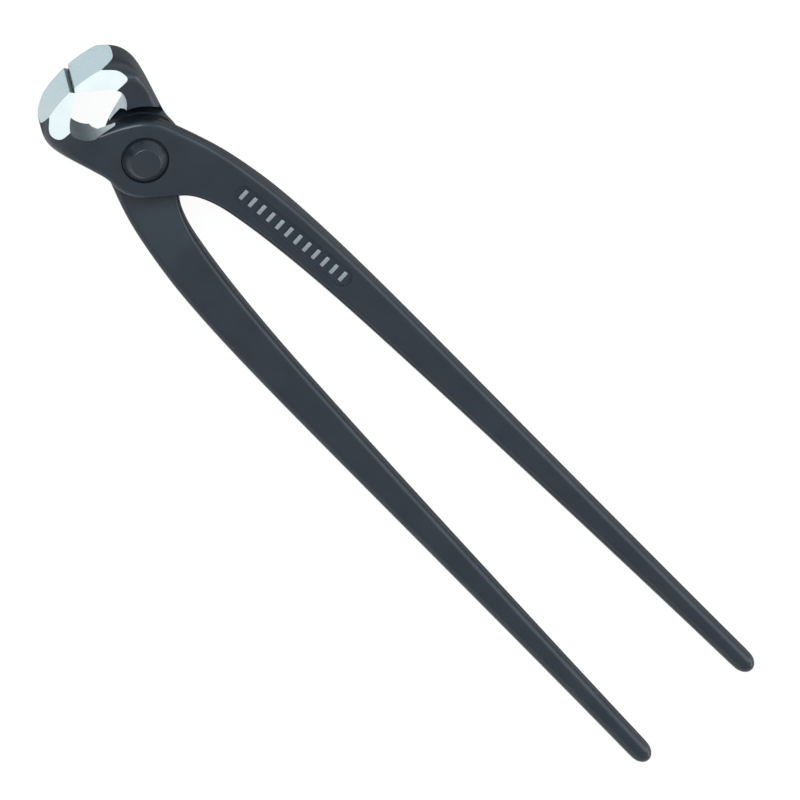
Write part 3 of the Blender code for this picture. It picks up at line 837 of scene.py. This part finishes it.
def panel_recess(pliers, forging, past):
    """The marking panel: a shallow recess with round ends and a rounded foot."""
    panel = pliers.panel
    start, end = panel_ends(pliers, forging)
    half = panel.width / 2
    mesh = bmesh.new()
    corners = [mesh.verts.new((x, y, 0.0)) for x, y in
               ((-half, -half), ((end - start).length + half, -half),
                ((end - start).length + half, half), (-half, half))]
    mesh.faces.new(corners)
    bmesh.ops.bevel(mesh, geom=corners, offset=half * PANEL_CORNER_SHARE, offset_type="OFFSET",
                    affect="VERTICES", segments=PANEL_CORNER_SEGMENTS, profile=0.5, material=-1)
    floor = bmesh.ops.extrude_face_region(mesh, geom=mesh.faces[:])["geom"]
    bmesh.ops.translate(mesh, vec=(0.0, 0.0, past),
                        verts=[part for part in floor if isinstance(part, bmesh.types.BMVert)])
    rim = [edge for edge in mesh.edges if all(vert.co.z == 0.0 for vert in edge.verts)]
    bmesh.ops.bevel(mesh, geom=rim, offset=panel.depth * PANEL_FOOT_SHARE, offset_type="OFFSET",
                    affect="EDGES", segments=PANEL_FOOT_SEGMENTS, profile=0.5, material=-1)
    settle(mesh, forging, start, end, -panel.depth)
    return finished("panel_recess", mesh)


def settle(mesh, forging, start, end, height):
    """Lays what was modelled along X onto the face of the handle, between two points."""
    way = (end - start).normalized()
    bmesh.ops.transform(mesh, verts=mesh.verts, matrix=Matrix.Translation((*start, 0.0))
                        @ Matrix.Rotation(math.atan2(way.y, way.x), 4, "Z"))
    for vert in mesh.verts:
        vert.co.z += forging.face(vert.co.x) + height


def cut(shape, tools, finishes):
    """Cuts the tools out of the shape and returns the mesh. A cut face takes its tool's finish."""
    for part in (shape, *tools):
        for material in finishes:
            part.data.materials.append(material)
    for tool in tools:
        step = shape.modifiers.new(tool.name, "BOOLEAN")
        step.operation = "DIFFERENCE"
        step.object = tool
        step.solver = "EXACT"
    data = applied(shape)
    for tool in tools:
        bpy.data.objects.remove(tool)
    return data


def applied(shape):
    """The shape's mesh with its modifiers applied. The object itself is removed."""
    depsgraph = bpy.context.evaluated_depsgraph_get()
    data = bpy.data.meshes.new_from_object(shape.evaluated_get(depsgraph))
    bpy.data.objects.remove(shape)
    return data


def break_edges(data, width, segments):
    """Gives the sharp edges of a mesh a small bevel that catches the light."""
    shape = bpy.data.objects.new("broken_edges", data)
    bpy.context.scene.collection.objects.link(shape)
    bevel = shape.modifiers.new("edge_break", "BEVEL")
    bevel.width = width
    bevel.segments = segments
    bevel.limit_method = "ANGLE"
    bevel.angle_limit = math.radians(SHARP_ANGLE)
    bevel.harden_normals = True
    return applied(shape)


def set_in_place(name, data, body, node, half_turn=False):
    """Puts a finished mesh where the CAD node is and lets it ride on its body."""
    turn = Matrix.Rotation(math.pi if half_turn else 0.0, 4, "X")
    data.transform(Matrix.Translation(PIVOT) @ turn)
    data.name = name
    piece = bpy.data.objects.new(name, data)
    bpy.context.scene.collection.objects.link(piece)
    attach(piece, body)
    if node:
        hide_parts(node)


def forged_lever(pliers):
    """The forged and ground lever as one mesh, which serves for both."""
    forging = Forging(pliers)
    shape = blank("blank", (*forging.head_sections(), *forging.handle_sections()))
    past = pliers.jaw.half_width * CUTTER_SHARE
    data = cut(shape, [
        lap_recess(pliers, past), shoulder_recess(pliers, past),
        crotch_recess(pliers, forging, past), throat(pliers, forging, past),
        end_grind(pliers, past), side_grind("upper_side", pliers, past, 1),
        side_grind("lower_side", pliers, past, -1), rivet_hole(pliers, past),
        panel_recess(pliers, forging, past),
    ], lever_finishes(pliers.finish))
    return break_edges(data, pliers.finish.edge_break, EDGE_SEGMENTS)


def marking_bars(pliers):
    """A row of plain raised bars that stands in the panel."""
    forging = Forging(pliers)
    panel = pliers.panel
    start, end = panel_ends(pliers, forging)
    pitch = (end - start).length / (panel.bar_count - 1)
    mesh = bmesh.new()
    for index in range(panel.bar_count):
        bar = bmesh.ops.create_cube(mesh, size=1.0)["verts"]
        bmesh.ops.scale(mesh, vec=(panel.bar_width, panel.bar_length, panel.depth * 2), verts=bar)
        bmesh.ops.translate(mesh, vec=(pitch * index, 0.0, -panel.depth), verts=bar)
    bmesh.ops.bevel(mesh, geom=mesh.edges[:], offset=panel.bar_width * BAR_EDGE_SHARE,
                    offset_type="OFFSET", affect="EDGES", segments=BAR_EDGE_SEGMENTS, profile=0.5,
                    material=-1)
    settle(mesh, forging, start, end, 0.0)
    data = applied(finished("bars", mesh))
    data.materials.append(black_oxide("rubbed_and_highlit_black_oxide", pliers.finish.rubbed_and_highlit,
                                      pliers.finish.gloss, RUBBED_SHEEN))
    return data


def rivet_mesh(pliers):
    """The rivet: a shank with a cone-shaped, flat-topped head at each end."""
    rivet, joint = pliers.rivet, pliers.joint
    seat = joint.half_thickness - rivet.seat_depth + joint.fit_gap
    top = joint.half_thickness + rivet.head_height
    half = (
        (rivet.shank_radius, seat),
        (rivet.head_radius, seat),
        (rivet.head_radius, joint.half_thickness + rivet.head_edge),
        (rivet.flat_radius + rivet.head_edge, top - rivet.head_edge),
        (rivet.flat_radius, top),
        (0.0, top),
    )
    profile = [(radius, -height) for radius, height in reversed(half)] + list(half)
    data = applied(turned("rivet", profile))
    data.materials.append(black_oxide("rivet_black_oxide", pliers.finish.black,
                                      pliers.finish.gloss, RIVET_SHEEN, RIVET_OIL))
    return break_edges(data, pliers.finish.edge_break * RIVET_EDGE_SHARE, RIVET_EDGE_SEGMENTS)


# The studio


def make_floor(lowest, tone):
    """A wide pale floor that the part lies on."""
    mesh = bmesh.new()
    bmesh.ops.create_grid(mesh, x_segments=1, y_segments=1, size=FLOOR_HALF_SIDE)
    bmesh.ops.translate(mesh, vec=(0.0, 0.0, lowest), verts=mesh.verts)
    floor = finished("floor", mesh)
    material = bpy.data.materials.new("floor")
    shader = Shader(material)
    camera, seen = seen_rays(shader)
    speck = shader.noise(shader.place(), SPECK_WAVES, SPECK_DETAIL)
    dark = tuple(part * SPECK_TONE_SHARE for part in tone)
    tint = shader.mix(speck * SPECK_SHARE, tone, dark)
    plain = shader.add("ShaderNodeBsdfDiffuse", {}, Color=tint)
    bright = shader.add("ShaderNodeEmission", {}, Color=WHITE, Strength=1.0)
    share = seen * SEEN_WHITE_SHARE + camera * CAMERA_WHITE_SHARE
    shader.finish(shader.add("ShaderNodeMixShader", {}, share, plain, bright))
    floor.data.materials.append(material)
    floor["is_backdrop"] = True


def seen_rays(shader):
    """Masks of the camera's rays, and of all that show the surroundings: gloss and glass too."""
    camera, glossy, through = (shader.add("ShaderNodeLightPath", {}, output=name) for name in
                               ("Is Camera Ray", "Is Glossy Ray", "Is Transmission Ray"))
    return camera, camera | glossy | through


def make_world():
    """Even light from all round, in front of plain white."""
    world = bpy.data.worlds.new("studio")
    bpy.context.scene.world = world
    shader = Shader(world)
    _, seen = seen_rays(shader)
    strength = seen + (1.0 - seen) * WORLD_STRENGTH
    shader.finish(shader.add("ShaderNodeBackground", {}, WHITE, strength), "ShaderNodeOutputWorld")


def make_lamp(target, name, direction, distance, size, power):
    """A softbox that points at the part."""
    lamp = bpy.data.lights.new(name, "AREA")
    lamp.shape = "RECTANGLE"
    lamp.size, lamp.size_y = size
    lamp.energy = power
    lamp.color = LAMP_COLOUR
    shape = bpy.data.objects.new(name, lamp)
    shape.location = target + Vector(direction).normalized() * distance
    shape.rotation_euler = Vector(direction).to_track_quat("Z", "Y").to_euler()
    shape.visible_camera = False
    bpy.context.scene.collection.objects.link(shape)


def make_camera(studio, joint):
    """The camera at the photograph's angle, with the rivet where the photograph shows it."""
    tilt, azimuth, roll = studio.tilt, studio.azimuth, studio.roll
    up = Vector((0.0, 0.0, 1.0))
    lean = Vector((math.sin(azimuth), -math.cos(azimuth), 0.0))
    back = up * math.cos(tilt) + lean * math.sin(tilt)
    high = lean * math.cos(tilt) - up * math.sin(tilt)
    wide = high.cross(back)
    right = wide * math.cos(roll) - high * math.sin(roll)
    high = wide * math.sin(roll) + high * math.cos(roll)
    pivot = Vector((0.0, 0.0, joint.half_thickness))
    depth = studio.distance - pivot.z * back.z
    across = (studio.pivot_column - studio.side / 2) / studio.pixels
    down = (studio.side / 2 - studio.pivot_row) / studio.pixels
    place = pivot - (right * across + high * down) * depth + back * depth + PIVOT
    camera = bpy.data.objects.new("camera", bpy.data.cameras.new("camera"))
    turn = Matrix((right, high, back)).transposed().to_4x4()
    camera.matrix_world = Matrix.Translation(place) @ turn
    camera.data.sensor_width = SENSOR_WIDTH
    camera.data.lens = SENSOR_WIDTH * studio.pixels / studio.side
    bpy.context.scene.collection.objects.link(camera)
    bpy.context.scene.camera = camera


class PLIERS_OT_levers(bpy.types.Operator):
    """Forges both levers, which are the same piece, one turned over"""

    bl_idname = "pliers.levers"
    bl_label = "Levers"

    def execute(self, context):
        forging = forged_lever(context.scene.pliers)
        set_in_place("front_lever_forging", forging.copy(), "front_half",
                     "front_lever")
        set_in_place("rear_lever_forging", forging, "rear_half", "rear_lever", True)
        return {"FINISHED"}


class PLIERS_OT_marking_bars(bpy.types.Operator):
    """Adds the row of plain raised bars in each lever's panel"""

    bl_idname = "pliers.marking_bars"
    bl_label = "Marking bars"

    def execute(self, context):
        bars = marking_bars(context.scene.pliers)
        set_in_place("front_marking_bars", bars.copy(), "front_half", None)
        set_in_place("rear_marking_bars", bars, "rear_half", None, True)
        return {"FINISHED"}


class PLIERS_OT_rivet(bpy.types.Operator):
    """Turns the rivet that joins the levers"""

    bl_idname = "pliers.rivet"
    bl_label = "Rivet"

    def execute(self, context):
        set_in_place("joint_rivet", rivet_mesh(context.scene.pliers), "rear_half",
                     "pivot_rivet")
        return {"FINISHED"}


class PLIERS_OT_stage(bpy.types.Operator):
    """Lays the floor, hangs the softboxes and sets up the camera"""

    bl_idname = "pliers.stage"
    bl_label = "Stage"

    def execute(self, context):
        pliers = context.scene.pliers
        context.scene.view_settings.view_transform = "Standard"
        low, high = CAD_BOX
        make_floor(low.z - FLOOR_GAP, pliers.finish.floor)
        make_world()
        for lamp in LAMPS:
            make_lamp((low + high) / 2, *lamp)
        make_camera(pliers.studio, pliers.joint)
        return {"FINISHED"}


class PLIERS_PT_sidebar(bpy.types.Panel):
    """Lists the sizes, the finishes and the steps"""

    bl_label = "Rebar tying pliers"
    bl_space_type = "VIEW_3D"
    bl_region_type = "UI"
    bl_category = "Pliers"

    def draw(self, context):
        for step in STEPS:
            self.layout.operator(step.bl_idname)
        pliers = context.scene.pliers
        for group in pliers.__annotations__:
            box = self.layout.box()
            box.label(text=group.capitalize())
            values = getattr(pliers, group)
            for name in values.__annotations__:
                box.prop(values, name)


STEPS = (PLIERS_OT_levers, PLIERS_OT_marking_bars, PLIERS_OT_rivet, PLIERS_OT_stage)
GROUPS = (JawSizes, JointSizes, HandleSizes, RivetSizes, PanelSizes, FinishSettings,
          StudioSettings, PlierSettings)
CLASSES = (*GROUPS, *STEPS, PLIERS_PT_sidebar)


def register():
    for group in CLASSES:
        bpy.utils.register_class(group)
    bpy.types.Scene.pliers = PointerProperty(type=PlierSettings)


def unregister():
    del bpy.types.Scene.pliers
    for group in reversed(CLASSES):
        bpy.utils.unregister_class(group)


def main():
    register()
    bpy.ops.pliers.levers()
    bpy.ops.pliers.marking_bars()
    bpy.ops.pliers.rivet()
    bpy.ops.pliers.stage()
    boxes = {"cad": CAD_BOX, "visual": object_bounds()}
    {name: [list(corner) for corner in box] for name, box in boxes.items()}


if __name__ == "__main__":
    main()
